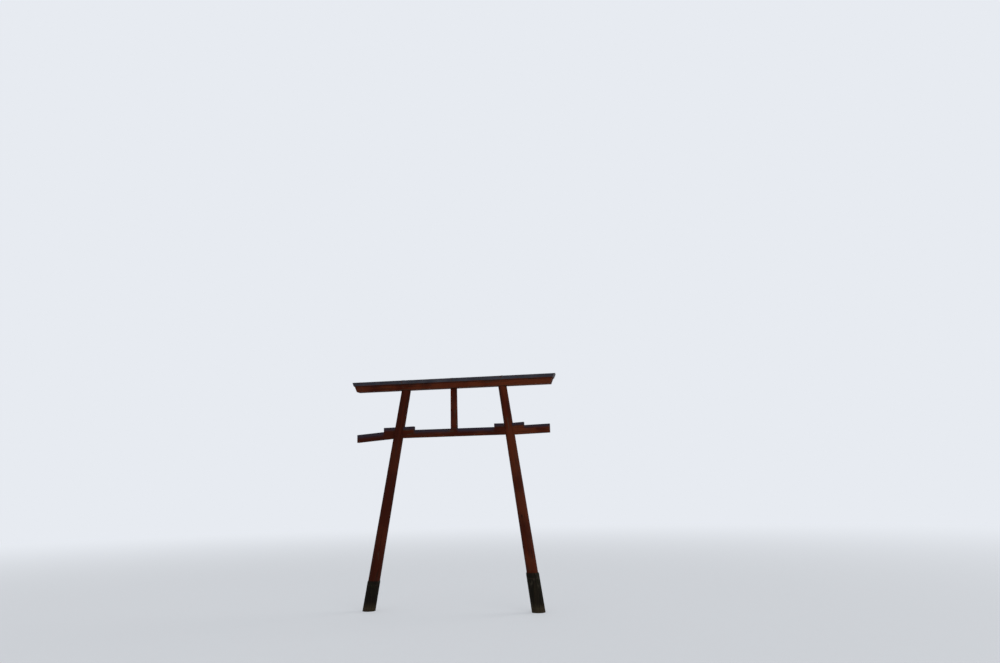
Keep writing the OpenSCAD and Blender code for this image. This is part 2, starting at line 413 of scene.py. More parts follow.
def spotsOf(made):
    return np.array([v.co for v in made.data.vertices])


def markEdges(made, segments, reach):
    # wear is strongest on the sharp edges and fades within their reach
    spots = spotsOf(made)
    best = np.full(len(spots), 9.0)
    for a, b in segments:
        a, b = np.array(a), np.array(b)
        t = np.clip(((spots - a) @ (b - a)) / max((b - a) @ (b - a), 1e-12), 0, 1)
        best = np.minimum(best, np.linalg.norm(spots - (a + t[:, None] * (b - a)), axis=1))
    mark(made, "edge", np.exp(-(best / reach) ** 2))


def markRims(made, amount):
    # paint also flakes along the rims of the splits, whose walls are the second material
    mesh = made.data
    faces, loops = len(mesh.polygons), len(mesh.loops)
    kinds, sizes, corners = (np.zeros(count, dtype=np.int32) for count in (faces, faces, loops))
    mesh.polygons.foreach_get("material_index", kinds)
    mesh.polygons.foreach_get("loop_total", sizes)
    mesh.loops.foreach_get("vertex_index", corners)
    walls = np.repeat(kinds, sizes) == 1
    rims = np.intersect1d(corners[walls], corners[~walls])
    worn = marked(made, "edge")
    worn[rims] = np.maximum(worn[rims], amount)
    mesh.attributes["edge"].data.foreach_set("value", worn)


def markTops(made, top, reach, covers):
    # the bluish dark band, partly rain stain and partly a painted reflection of the sky: most on the upper
    # edge, fading down the faces, none under what stands on it
    spots = spotsOf(made)
    below = np.clip(top(spots) - spots[:, 2], 0, None)
    wetAndSky = np.exp(-(below / reach) ** 1.6)
    for cover in covers:
        low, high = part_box(cover)
        away = np.maximum(low.x - spots[:, 0], spots[:, 0] - high.x)
        wetAndSky *= np.clip((away + timberSpec["coverFrom"]) / timberSpec["coverFade"], 0, 1)
    mark(made, "wetAndSky", wetAndSky)


def markLightAndShade(made, paintedShade, lightening=(0.0, 0.0)):
    # painted shade, which darkens a piece towards the deep red, and painted light, which pales it, each given
    # for the left and the right end
    places = spotsOf(made)[:, 0]
    along = (places - places.min()) / (places.max() - places.min())
    mark(made, "paintedShade", paintedShade[0] + (paintedShade[1] - paintedShade[0]) * along)
    mark(made, "lightening", lightening[0] + (lightening[1] - lightening[0]) * along)


def useFinishes(made, *names):
    made.data.materials.clear()
    for name in names:
        made.data.materials.append(finishes[name])


bladeSpec = {"lift": 0.006, "flare": 0.75}  # how far the blades stand out of the face, and how they widen


def blades(cracks):
    # drying splits as one cutting solid: each is a thin V that follows a path and closes at both ends
    bm = bmesh.new()
    for path in cracks:
        rings = []
        for spot, outward, across, width, depth in path:
            top = spot + outward * bladeSpec["lift"]
            half = across * width * bladeSpec["flare"]
            corners = (top + half, top - half, spot - outward * depth)
            rings.append([bm.verts.new(corner) for corner in corners])
        for a, b in zip(rings, rings[1:]):
            for i in range(3):
                j = (i + 1) % 3
                bm.faces.new((a[i], a[j], b[j], b[i]))
        bm.faces.new(rings[0])
        bm.faces.new(rings[-1][::-1])
    bmesh.ops.recalc_face_normals(bm, faces=bm.faces)
    made = show("blades", bm)
    made.data.materials.append(finishes["split"])
    return made


def taper(t):
    # width of a split along its length, from 0 to 1 and back
    return max(0.04, math.sin(math.pi * min(max(t, 0.0), 1.0)) ** 0.6)


# timbers: beams, stubs, wedges, strut and lintels, worked over the CAD solids
timberSpec = {
    "bevel": 0.004,
    "edgeLoop": 0.014,
    "dent": 0.0012,
    "dentScale": 9.0,
    "dentStretch": 0.35,
    "grid": 0.030,
    "gridAcross": 0.024,
    "edgeWear": 0.010,
    "rimWear": 0.75,
    # where a cover starts to keep off the band of rain stain and painted sky reflection, and over how far
    "coverFrom": 0.030,
    "coverFade": 0.055,
    "splitWidth": 0.0035,
    "splitDepth": 0.016,
    "splitVaries": (0.5, 1.2),
    "splitSteps": 14,
    "splitDrift": 0.0015,
    "endSplitWidth": (0.0022, 0.0042),
    "endSplitDepth": (0.012, 0.020),
}


def cutAcross(bm, axis, places):
    normal = Vector([float(i == axis) for i in range(3)])
    for place in places:
        bmesh.ops.bisect_plane(bm, geom=bm.verts[:] + bm.edges[:] + bm.faces[:], dist=1e-6,
                               plane_co=normal * place, plane_no=normal)


def spaced(low, high, gap):
    count = max(1, round((high - low) / gap))
    return [low + (high - low) * i / count for i in range(1, count)]


def topLine(solid):
    # the height of a timber's upper side at any place along X
    spots = sorted({(round(v.co.x, 4), round(v.co.z, 4)) for v in solid.verts})
    middle = (spots[0][0] + spots[-1][0]) / 2
    ends = [max((s for s in spots if (s[0] < middle) == near), key=lambda s: s[1]) for near in (True, False)]
    (x0, z0), (x1, z1) = ends
    return lambda where: z0 + (z1 - z0) * (where[:, 0] - x0) / (x1 - x0)


def heartOf(node):
    # the height of the tree's heart in a beam, which the rings on its ends go round
    low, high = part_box(node)
    if node == "left_tie_stub":
        return low.z + beamSpec[node]["section"] / 2
    if node == "right_tie_stub":
        return high.z - beamSpec[node]["section"] / 2
    return (low.z + high.z) / 2


def timber(node, own, seed, cracks, finish="beams", long=0):
    # own holds what is special to this timber, long is the axis along its grain
    spec = timberSpec
    bm = solidOf(node)
    segments = segmentsOf(bm)
    top = topLine(bm)
    low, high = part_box(node)
    reach = high.y * 0.8
    rims = [e for e in bm.edges if len(e.link_faces) == 2 and e.is_convex and e.calc_face_angle(0) > 0.4
            and (abs(e.verts[0].co.y) > reach or abs(e.verts[1].co.y) > reach)]
    bmesh.ops.bevel(bm, geom=rims, offset=own.get("bevel", spec["bevel"]), segments=2, profile=0.6,
                    affect="EDGES", clamp_overlap=True)
    for axis in range(3):
        places = spaced(low[axis], high[axis], spec["grid"] if axis == long else spec["gridAcross"])
        places += [low[axis] + spec["edgeLoop"], high[axis] - spec["edgeLoop"]]
        cutAcross(bm, axis, places)
    bm.normal_update()
    for v in bm.verts:
        spot = Vector(v.co)
        spot[long] *= spec["dentStretch"]
        wave = noise.noise(spot * spec["dentScale"] + Vector((seed, 0, 0))) * 0.5 + 0.5
        v.co += v.normal * -spec["dent"] * wave
    made = show(node + "Timber", bm)
    useFinishes(made, finish, "split")
    if cracks:
        cut(made, blades(cracks))
    markEdges(made, segments, spec["edgeWear"])
    markRims(made, spec["rimWear"])
    markTops(made, top, own["wetAndSkyReach"], own.get("covers", ()))
    markLightAndShade(made, (own["paintedShade"], own["paintedShade"]), own.get("lightening", (0.0, 0.0)))
    mark(made, "heart", spotsOf(made)[:, 2] - heartOf(node))
    smoothSides(made, 34)
    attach(made, "root")
    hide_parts(node)
    return made


def grainSplit(rng, start, end, across, width, depth):
    # a split along the grain of a front or back face
    outward = Vector((0, math.copysign(1, start.y), 0))
    drift, count = timberSpec["splitDrift"], timberSpec["splitSteps"]
    path, sway = [], 0.0
    for i in range(count + 1):
        t = i / count
        sway += rng.uniform(-drift, drift)
        path.append((start.lerp(end, t) + across * sway, outward, across, width * taper(t), depth * taper(t)))
    return path


def beamSplits(node, seed, count, width):
    # splits along the front and back faces in turn, each in a lane of its own
    rng = random.Random(seed)
    low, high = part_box(node)
    tall, size = high.z - low.z, high.x - low.x
    lanes, made = (count + 1) // 2, []
    for i in range(count):
        x0 = rng.uniform(low.x + 0.03, high.x - 0.35 * size)
        x1 = min(high.x - 0.03, x0 + rng.uniform(0.12, 0.45) * min(size, 2.2))
        y = (low.y, high.y)[i % 2]
        z = low.z + tall * (0.2 + 0.6 * (i // 2 + rng.uniform(0.3, 0.7)) / lanes)
        wide = width * rng.uniform(*timberSpec["splitVaries"])
        made.append(grainSplit(rng, Vector((x0, y, z)), Vector((x1, y, z)), Vector((0, 0, 1)), wide,
                               timberSpec["splitDepth"]))
    return made


def strutSplits(seed):
    # two splits up the front and the back of the strut, clear of each other and of its ends
    rng = random.Random(seed)
    low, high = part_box("strut")
    middle, tall, made = (low.x + high.x) / 2, high.z - low.z, []
    for y in (low.y, high.y):
        for aside in strutSpec["splitPlaces"]:
            x = middle + aside
            z0 = low.z + tall * rng.uniform(0.08, 0.35)
            z1 = z0 + tall * rng.uniform(0.25, 0.50)
            wide = strutSpec["splitWidth"] * rng.uniform(*timberSpec["splitVaries"])
            made.append(grainSplit(rng, Vector((x, y, z0)), Vector((x, y, z1)), Vector((1, 0, 0)), wide,
                                   strutSpec["splitDepth"]))
    return made


def endSplits(x, foot, head, deep, way, seed, slant=0.0):
    # drying splits that star out from the heart of an end, which leans by slant from plumb
    rng = random.Random(seed)
    middle, made = (foot + head) / 2, []
    outward = Vector((way * math.cos(slant), 0, -math.sin(slant)))
    for turn in (0.9, 3.0, 5.1):
        angle = turn + rng.uniform(-0.35, 0.35)
        upward = (head - foot) / 2 / max(abs(math.sin(angle)), 0.2)
        sideways = deep / max(abs(math.cos(angle)), 0.2)
        reach = rng.uniform(0.62, 0.86) * min(upward, sideways)
        width, depth = rng.uniform(*timberSpec["endSplitWidth"]), rng.uniform(*timberSpec["endSplitDepth"])
        across = Vector((0, math.sin(angle), -math.cos(angle)))
        path = []
        for i in range(7):
            far = 0.006 + (reach - 0.006) * i / 6
            up = math.sin(angle) * far + rng.uniform(-0.0008, 0.0008)
            spot = Vector((x + way * up * math.tan(slant), math.cos(angle) * far, middle + up))
            size = taper(0.10 + 0.86 * i / 6)
            path.append((spot, outward, across, width * size, depth * size))
        made.append(path)
    return made


# how each beam has aged, and the light and shade painted on it: splits, painted shade, painted light at its
# left and right ends, how far down the band of rain stain and painted sky reflection reaches, and what covers
# it; section is the height of a stub's end
beamSpec = {
    "tie_beam": {"splits": 9, "paintedShade": 0.62, "lightening": (0.0, 0.2), "wetAndSkyReach": 0.068,
                 "covers": ["left_inner_wedge", "strut", "right_inner_wedge"]},
    "left_tie_stub": {"splits": 5, "paintedShade": 0.90, "lightening": (0.0, 0.0), "wetAndSkyReach": 0.075, "section": 0.150,
                      "covers": ["left_outer_wedge"]},
    "right_tie_stub": {"splits": 5, "paintedShade": 0.15, "lightening": (0.3, 0.7), "wetAndSkyReach": 0.056, "section": 0.166,
                       "covers": ["right_outer_wedge"]},
    "lower_lintel": {"splits": 8, "paintedShade": 0.25, "lightening": (0.0, 0.80), "wetAndSkyReach": 0.005},
    "upper_lintel": {"splits": 0, "paintedShade": 0.25, "lightening": (0.0, 0.7), "wetAndSkyReach": 0.046},
}
# the strut and the wedges: painted shade, and the band of rain stain and painted sky reflection
strutSpec = {"paintedShade": 0.15, "wetAndSkyReach": 0.012,
             "splitPlaces": (-0.022, 0.020), "splitWidth": 0.0030, "splitDepth": 0.014}
wedgeSpec = {"paintedShade": 0.4, "wetAndSkyReach": 0.070, "bevel": 0.005, "splits": 2, "splitWidth": 0.0025}
wedges = ["left_outer_wedge", "left_inner_wedge", "right_inner_wedge", "right_outer_wedge"]
lintelSlant = math.radians(22.5)


def endCracks(node):
    low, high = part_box(node)
    if node == "left_tie_stub":
        return endSplits(low.x, low.z, low.z + beamSpec[node]["section"], high.y, -1, 5)
    if node == "right_tie_stub":
        return endSplits(high.x, high.z - beamSpec[node]["section"], high.z, high.y, 1, 8)
    if node == "lower_lintel":
        inset = (high.z - low.z) / 2 * math.tan(lintelSlant)
        return (endSplits(low.x + inset, low.z, high.z, high.y, -1, 12, lintelSlant)
                + endSplits(high.x - inset, low.z, high.z, high.y, 1, 15, lintelSlant))
    return []


timbers = {}
for number, (node, own) in enumerate(beamSpec.items()):
    cracks = beamSplits(node, 11 + number, own["splits"], timberSpec["splitWidth"]) + endCracks(node)
    timbers[node] = timber(node, own, number * 5.1, cracks)
timbers["strut"] = timber("strut", strutSpec, 41.0, strutSplits(19), "strut", long=2)
for number, node in enumerate(wedges):
    cracks = beamSplits(node, 51 + number, wedgeSpec["splits"], wedgeSpec["splitWidth"])
    timbers[node] = timber(node, wedgeSpec, 50 + number * 5.1, cracks)
print("timbers made:", len(timbers))


# logs: a ruled leaning cone with shallow dents and knots, then trimmed to the CAD pillar
logSpec = {
    "sizes": {"Around": 84, "Rows": 230, "Dent": 0.0036, "Trim": 0.09},
    "mainSplit": (0.30, 2.95, 0.0080, 0.040),  # from, to, width, depth
    "highSplit": (3.45, 4.04, 0.0045, 0.025),
    "splitStarts": (0.2, 3.8),
    "splitLong": (0.25, 1.1),
    "splitShortest": 0.2,
    "splitTop": 4.05,
    "splitWidth": (0.0016, 0.0042),
    "splitDepth": (0.010, 0.022),
    "splitApart": 0.34,
    "splitInset": 0.004,  # the dented face lies this far under the ruled one
    "hole": (3.14, 3.44),  # no split runs across the beam's hole
    "edgeWear": 0.012,
    "rimWear": 0.85,
    # painted shade on both logs, darkest at the foot of the left log, and painted light at the top of the
    # right log
    "left": {"seed": 2.0, "main": 2.5, "splits": 13, "paintedShade": (1.0, 0.70), "lightening": (0.0, 0.0)},
    "right": {"seed": 9.0, "main": 0.9, "splits": 13, "paintedShade": (0.30, 0.56), "lightening": (0.25, 0.10)},
}


def newTree(name, **inputs):
    # a tree whose named inputs are listed by their kind: Geometry, Int or Float
    tree = bpy.data.node_groups.new(name, "GeometryNodeTree")
    tree.interface.new_socket("Geometry", in_out="OUTPUT", socket_type="NodeSocketGeometry")
    ids = {}
    for kind, labels in inputs.items():
        for label in labels:
            made = tree.interface.new_socket(label, in_out="INPUT", socket_type="NodeSocket" + kind)
            ids[label] = made.identifier
    sheet = Sheet(tree)
    entry = tree.nodes.new("NodeGroupInput")
    wires = {label: Wire(sheet, entry.outputs[label]) for label in ids}
    return tree, sheet, wires, ids


def closeTree(sheet, geometry, finish):
    whole = sheet.node("GeometryNodeRealizeInstances", None, [geometry])
    dressed = sheet.node("GeometryNodeSetMaterial", None, {"Geometry": whole, "Material": finishes[finish]})
    sheet.node("NodeGroupOutput", None, [dressed])


def grown(name, tree, ids, values, points=None):
    # an object whose shape the tree makes, frozen to a plain mesh
    made = bpy.data.objects.new(name, points or bpy.data.meshes.new(name))
    bpy.context.scene.collection.objects.link(made)
    step = made.modifiers.new(name, "NODES")
    step.node_group = tree
    for label, value in values.items():
        step[ids[label]] = value
    return frozen(made)


def logTree():
    tree, sheet, given, ids = newTree(
        "leaningLog", Int=("Around", "Rows"),
        Float=("Height", "Trim", "Foot X", "Slope", "Foot Radius", "Top Radius", "Dent", "Seed"))
    sizes = {"Vertices": given["Around"], "Side Segments": given["Rows"], "Radius": 1.0, "Depth": 1.0}
    body = sheet.node("GeometryNodeMeshCylinder", {"fill_type": "NGON"}, sizes)
    x, y, z = sheet.parts(sheet.node("GeometryNodeInputPosition"))
    high = (z + 0.5) * (given["Height"] + given["Trim"] * 2.0) - given["Trim"]
    share = high / given["Height"]
    radius = given["Foot Radius"] * (1.0 - share) + given["Top Radius"] * share
    swell = sheet.drawn(x * 0.9 + given["Seed"], y * 0.9, high * 1.1, 2.0, 0.5)
    flats = sheet.drawn(x * 2.6 + given["Seed"], y * 2.6, high * 4.5, 2.0, 0.5)
    ribs = sheet.drawn(x * 7.0 + given["Seed"], y * 7.0, high * 0.8, 2.0, 0.5)
    spread = sheet.join(x * 1.1 + given["Seed"], y * 1.1, high * 2.6)
    knots = sheet.node("ShaderNodeTexVoronoi", {"feature": "F1"},
                       {"Vector": spread, "Scale": 1.0, "Randomness": 1.0})
    bulge = 1.0 - sheet.step(knots, 0.04, 0.24)
    radius = radius - given["Dent"] * (swell * 0.45 + flats * 0.3 + ribs * 0.25) * (1.0 - bulge)
    stretch = (given["Slope"] * given["Slope"] + 1.0).maths("SQRT")
    place = sheet.join(given["Foot X"] + high * given["Slope"] + x * radius * stretch, y * radius, high)
    marked = sheet.store(body, "knot", bulge)
    moved = sheet.node("GeometryNodeSetPosition", None, {"Geometry": marked, "Position": place})
    closeTree(sheet, moved, "leftLog")
    return tree, ids


def onLog(side, angle, z):
    # a point on a log's face, with the way out and the way round
    r = logRadius(side, z) - logSpec["splitInset"]
    slope = slopeOf(side)
    outward = Vector((math.cos(angle), math.sin(angle), 0))
    around = Vector((-math.sin(angle), math.cos(angle), 0))
    return Vector((stance[side]["foot"] + slope * z, 0, z)) + outward * r, outward, around


def logSplits(side):
    # a long split, one over the hole on the far side, and shorter ones clear of them and of each other
    spec, own = logSpec, logSpec[side]
    rng = random.Random(int(own["seed"] * 7))
    under, over = spec["hole"]
    made = []
    runs = [(own["main"], *spec["mainSplit"]), (own["main"] + 3.0, *spec["highSplit"])]
    while len(runs) < own["splits"]:
        z0, angle = rng.uniform(*spec["splitStarts"]), rng.uniform(0, 2 * math.pi)
        z1 = z0 + rng.uniform(*spec["splitLong"])
        if z0 < under < z1:
            z1 = under
        elif z0 < over < z1:
            z0 = over
        z1 = min(z1, spec["splitTop"])
        beside = [run for run in runs if z0 < run[2] + 0.05 and z1 > run[1] - 0.05]
        apart = [abs(math.remainder(angle - run[0], 2 * math.pi)) for run in beside]
        if z1 - z0 > spec["splitShortest"] and min(apart, default=9) > spec["splitApart"]:
            runs.append((angle, z0, z1, rng.uniform(*spec["splitWidth"]), rng.uniform(*spec["splitDepth"])))
    for angle, z0, z1, width, depth in runs:
        path, count = [], max(8, round((z1 - z0) / 0.06))
        turn = rng.uniform(0.04, 0.12)
        for i in range(count + 1):
            t = i / count
            z = z0 + (z1 - z0) * t
            angle += turn * (z1 - z0) / count + rng.uniform(-0.010, 0.010)
            spot, outward, around = onLog(side, angle, z)
            path.append((spot, outward, around, width * taper(t), depth * taper(t)))
        made.append(path)
    return made


def pillarTimber(side, tree, ids):
    own = logSpec[side]
    made = grown(side + "Log", tree, ids, {
        **logSpec["sizes"], "Seed": own["seed"], "Height": stance["height"],
        "Foot X": stance[side]["foot"], "Slope": slopeOf(side),
        "Foot Radius": stance[side]["footRadius"], "Top Radius": stance[side]["topRadius"]})
    useFinishes(made, side + "Log", "split")
    node = side + "_pillar"
    plain = solidOf(node, False)
    segments = segmentsOf(plain, 40)
    shape = show("shape", plain)
    shape.data.materials.append(finishes[side + "Log"])
    cut(made, shape, "INTERSECT")
    cut(made, blades(logSplits(side)))
    markEdges(made, segments, logSpec["edgeWear"])
    markRims(made, logSpec["rimWear"])
    markLightAndShade(made, own["paintedShade"], own["lightening"])
    smoothSides(made, 38)
    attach(made, "root")
    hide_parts(node)
    return made


logShape, logIds = logTree()
logs = {side: pillarTimber(side, logShape, logIds) for side in ("left", "right")}
print("logs made:", {side: len(made.data.polygons) for side, made in logs.items()})


# collars: flat boards round each foot, and their nails
collarSpec = {
    "left": {"Boards": 17, "Thick": 0.007, "Height": 0.550, "Seed": 4, "Rise": 0.0008, "Chamfer": 0.0020},
    "right": {"Boards": 14, "Thick": 0.014, "Height": 0.695, "Seed": 9, "Rise": 0.0016, "Chamfer": 0.0045},
    "both": {"Gap": 0.0016, "Uneven": 0.007, "Across": 15, "Rows": 26},
    # painted shade on the left collar
    "paintedShade": {"left": 0.55, "right": 0.0},
    "nailHeights": (0.11, 0.86),
    "nailPlaces": (-0.45, 0.45),
}


def collarTree():
    # one block for each board, bent round the log, and each a little shorter or flatter by chance
    tree, sheet, given, ids = newTree(
        "collarBoards", Int=("Boards", "Across", "Rows", "Seed"),
        Float=("Foot X", "Slope", "Foot Radius", "Taper", "Thick", "Height",
               "Gap", "Uneven", "Rise", "Chamfer"))
    blank = sheet.node("GeometryNodeMeshCube", None,
                       {"Size": (2.0, 1.0, 1.0), "Vertices X": given["Across"], "Vertices Y": 3,
                        "Vertices Z": given["Rows"]})
    line = sheet.node("GeometryNodeMeshLine", None, {"Count": given["Boards"], "Offset": (0.0, 0.0, 0.0)})
    copies = sheet.node("GeometryNodeInstanceOnPoints", None, {"Points": line, "Instance": blank})
    number = sheet.node("GeometryNodeInputIndex")
    stored = sheet.store(copies, "number", number, "INSTANCE")
    for i, label in enumerate(("board", "short", "proud", "shrink")):
        chance = sheet.node("FunctionNodeRandomValue", {"data_type": "FLOAT"},
                            {"ID": number, "Seed": given["Seed"] + i * 100.0}, out=1)
        stored = sheet.store(stored, label, chance, "INSTANCE")
    whole = sheet.node("GeometryNodeRealizeInstances", None, [stored])
    read = {label: sheet.node("GeometryNodeInputNamedAttribute", {"data_type": "FLOAT"}, {"Name": label})
            for label in ("number", "short", "proud", "shrink")}
    t, d, h = sheet.parts(sheet.node("GeometryNodeInputPosition"))
    depth, share = d + 0.5, h + 0.5
    rim = sheet.step(abs(t), 0.84, 1.0)
    lip = sheet.step(share, 0.97, 1.0)
    high = share * (given["Height"] - given["Uneven"] * read["short"])
    radius = given["Foot Radius"] - given["Taper"] * high
    half = sheet.node("ShaderNodeMath", {"operation": "DIVIDE"}, [math.pi, given["Boards"]])
    edgeGap = (given["Gap"] * (0.5 + read["shrink"])) / radius
    angle = read["number"] * half * 2.0 - t * (half - edgeGap)
    inner = radius + 0.0006
    corner = radius + given["Thick"] - given["Rise"] * read["proud"]
    flat = corner * half.maths("COSINE") / (t * (half - edgeGap)).maths("COSINE")
    outer = flat - given["Chamfer"] * 0.5 * rim - given["Chamfer"] * lip
    at = inner * (1.0 - depth) + outer * depth
    stretch = (given["Slope"] * given["Slope"] + 1.0).maths("SQRT")
    place = sheet.join(given["Foot X"] + high * given["Slope"] + angle.maths("COSINE") * at * stretch,
                       angle.maths("SINE") * at, high)
    moved = sheet.node("GeometryNodeSetPosition", None, {"Geometry": whole, "Position": place})
    closeTree(sheet, sheet.store(moved, "edge", rim.maths("MAXIMUM", lip) * depth), "boards")
    return tree, ids


nailSpec = {
    "sides": 10,
    "sunk": 0.0006,
    "left": {"Radius": 0.0036, "Rise": 0.0011},
    "right": {"Radius": 0.0046, "Rise": 0.0015},
    "sheetHead": {"Radius": 0.0042, "Rise": 0.0013},
}


def nailTree():
    # a low dome on every point, turned to face the way that the point gives
    tree, sheet, given, ids = newTree(
        "nailHeads", Geometry=("Geometry",), Float=("Radius", "Rise"), Int=("Sides",))
    head = sheet.node("GeometryNodeMeshCone", {"fill_type": "NGON"},
                      {"Vertices": given["Sides"], "Side Segments": 3, "Radius Top": given["Radius"] * 0.45,
                       "Radius Bottom": given["Radius"], "Depth": 1.0})
    x, y, z = sheet.parts(sheet.node("GeometryNodeInputPosition"))
    dome = (1.0 - (1.0 - z) * (1.0 - z)).maths("SQRT")
    place = sheet.join(x, y, dome * given["Rise"] - nailSpec["sunk"])
    head = sheet.node("GeometryNodeSetPosition", None, {"Geometry": head, "Position": place})
    facing = sheet.node("GeometryNodeInputNamedAttribute", {"data_type": "FLOAT_VECTOR"}, {"Name": "facing"})
    turn = sheet.node("FunctionNodeAlignRotationToVector", {"axis": "Z"}, {"Vector": facing})
    size = sheet.node("FunctionNodeRandomValue", {"data_type": "FLOAT"}, {2: 0.88, 3: 1.08, "Seed": 5}, out=1)
    copies = sheet.node("GeometryNodeInstanceOnPoints", None,
                        {"Points": given["Geometry"], "Instance": head, "Rotation": turn, "Scale": size})
    closeTree(sheet, copies, "iron")
    return tree, ids


def nailsAt(name, spots, head, tree, ids):
    points = bpy.data.meshes.new(name + "Spots")
    points.from_pydata([spot for spot, _ in spots], [], [])
    layer = points.attributes.new("facing", "FLOAT_VECTOR", "POINT")
    layer.data.foreach_set("vector", [c for _, way in spots for c in way])
    made = grown(name, tree, ids, {**nailSpec[head], "Sides": nailSpec["sides"]}, points)
    smoothSides(made, 60)
    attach(made, "root")
    return made


collarShape, collarIds = collarTree()
nailShape, nailIds = nailTree()


def boardSinks(made, rise):
    # how far each board lies under the collar's full thickness, for the nails to sit on it
    number, proud = marked(made, "number"), marked(made, "proud")
    return dict(zip(number.round().astype(int).tolist(), (proud * rise).tolist()))


def collar(side):
    own, foot, slope = collarSpec[side], stance[side]["foot"], slopeOf(side)
    fall = (stance[side]["footRadius"] - stance[side]["topRadius"]) / stance["height"]
    made = grown(side + "CollarBoards", collarShape, collarIds, {
        **own, **collarSpec["both"], "Foot X": foot, "Slope": slope,
        "Foot Radius": stance[side]["footRadius"], "Taper": fall})
    markLightAndShade(made, (collarSpec["paintedShade"][side],) * 2)
    smoothSides(made, 28)
    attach(made, "root")
    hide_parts(side + "_collar")
    rng = random.Random(own["Seed"])
    half, stretch = math.pi / own["Boards"], math.hypot(1, slope)
    sunk = boardSinks(made, own["Rise"])
    spots = []
    for i in range(own["Boards"]):
        middle = i * 2 * half
        way = Vector((math.cos(middle), math.sin(middle), 0))
        for share in collarSpec["nailHeights"]:
            for sway in collarSpec["nailPlaces"]:
                z = own["Height"] * share + rng.uniform(-0.008, 0.008)
                turn = half * (sway + rng.uniform(-0.1, 0.1))
                r = (logRadius(side, z) + own["Thick"] - sunk[i]) * math.cos(half) / math.cos(turn)
                x = foot + slope * z + math.cos(middle + turn) * r * stretch
                spots.append(((x, math.sin(middle + turn) * r, z), way))
    nailsAt(side + "CollarNails", spots, side, nailShape, nailIds)
    return made


collars = {side: collar(side) for side in ("left", "right")}
print("collars made:", {side: len(made.data.polygons) for side, made in collars.items()})


# cap: folded sheet lengths with soft dents, hems along the skirts, and nails
capSpec = {
    "fold": 0.003,
    "stripFold": 0.002,
    "dent": 0.0008,
    "grid": 0.035,
    "hemTall": 0.014,
    "hemThick": 0.0012,
    "nailGap": 0.165,
    "nailUp": 0.028,
    "stripNails": (0.014, 0.046),
    "nailEnds": 0.055,
    "nailClear": 0.03,  # from a joint strip
    "inset": 0.0004,  # hems and nails start this far under the sheet's face
    "edgeWear": 0.012,
    "endNails": ((-0.088, 0.016), (-0.030, 0.016), (0.030, 0.016), (0.088, 0.016),
                 (-0.070, 0.046), (0.070, 0.046)),
}


def sheetPiece(node, seed, fold, dent):
    # a length of sheet, a joint strip or an end plate: rounded bends and soft dents
    grid = capSpec["grid"]
    bm = solidOf(node)
    segments = segmentsOf(bm, 60)
    low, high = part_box(node)
    bends = [e for e in bm.edges if len(e.link_faces) == 2 and e.is_convex and e.calc_face_angle(0) > 0.2
             and abs(e.verts[0].co.y - e.verts[1].co.y) < 1e-4
             and abs(e.verts[0].co.z - e.verts[1].co.z) < 1e-4
             and min(v.co.z for v in e.verts) > high.z - 0.030]
    if fold and bends:
        bmesh.ops.bevel(bm, geom=bends, offset=fold, segments=3, profile=0.5,
                        affect="EDGES", clamp_overlap=True)
    cutAcross(bm, 0, spaced(low.x, high.x, grid) if high.x - low.x > grid else [])
    cutAcross(bm, 1, spaced(low.y, high.y, grid))
    cutAcross(bm, 2, spaced(low.z, high.z - 0.02, 0.022))
    bm.normal_update()
    for v in bm.verts:
        wave = noise.noise(Vector((v.co.x * 4.2 + seed, v.co.y * 6.0, v.co.z * 9.0)))
        if abs(v.co.y) > high.y - 0.006:
            v.co.y -= math.copysign(dent, v.co.y) * (wave * 0.5 + 0.5)
        elif v.co.z > high.z - 0.03:
            v.co.z -= dent * (wave * 0.5 + 0.5)
    made = show(node + "Sheet", bm)
    useFinishes(made, "sheet")
    markEdges(made, segments, capSpec["edgeWear"])
    smoothSides(made, 30)
    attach(made, "root")
    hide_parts(node)
    return made


def capLayout():
    # boxes of the first and last sheet and of the joint strips
    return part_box("cap_sheet_1"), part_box("cap_sheet_4"), [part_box("cap_strip_%d" % i) for i in (1, 2, 3)]


def hem():
    # doubled edge along the foot of both skirts, between the joint strips
    (low, high), last, strips = capLayout()
    slant = math.tan(lintelSlant)
    z0, z1 = low.z - 0.0002, low.z + capSpec["hemTall"]
    topReach = (last[1].z - low.z) * slant
    starts = [low.x + topReach, *[b[1].x + 0.001 for b in strips]]
    ends = [*[b[0].x - 0.001 for b in strips], last[1].x - topReach]
    bm = bmesh.new()
    for number, (x0, x1) in enumerate(zip(starts, ends)):
        leftSlant, rightSlant = slant * (number == 0), slant * (number == len(strips))
        for side in (-1, 1):
            y0 = side * (high.y - capSpec["inset"])
            y1 = side * (high.y + capSpec["hemThick"])
            rows = [(z0, y0), (z0 + 0.0008, y1), (z1 - 0.0008, y1), (z1, y0)]
            count = max(2, round((x1 - x0) / 0.06))
            grid = []
            for i in range(count + 1):
                line = []
                for z, y in rows:
                    a, b = x0 - (z - z0) * leftSlant, x1 + (z - z0) * rightSlant
                    line.append(bm.verts.new((a + (b - a) * i / count, y, z)))
                grid.append(line)
            for a, b in zip(grid, grid[1:]):
                for j in range(4):
                    bm.faces.new((a[j], a[(j + 1) % 4], b[(j + 1) % 4], b[j]))
            bm.faces.new(grid[0][::-1])
            bm.faces.new(grid[-1])
    bmesh.ops.recalc_face_normals(bm, faces=bm.faces)
    made = show("capHems", bm)
    useFinishes(made, "sheet")
    smoothSides(made, 40)
    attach(made, "root")
    return made


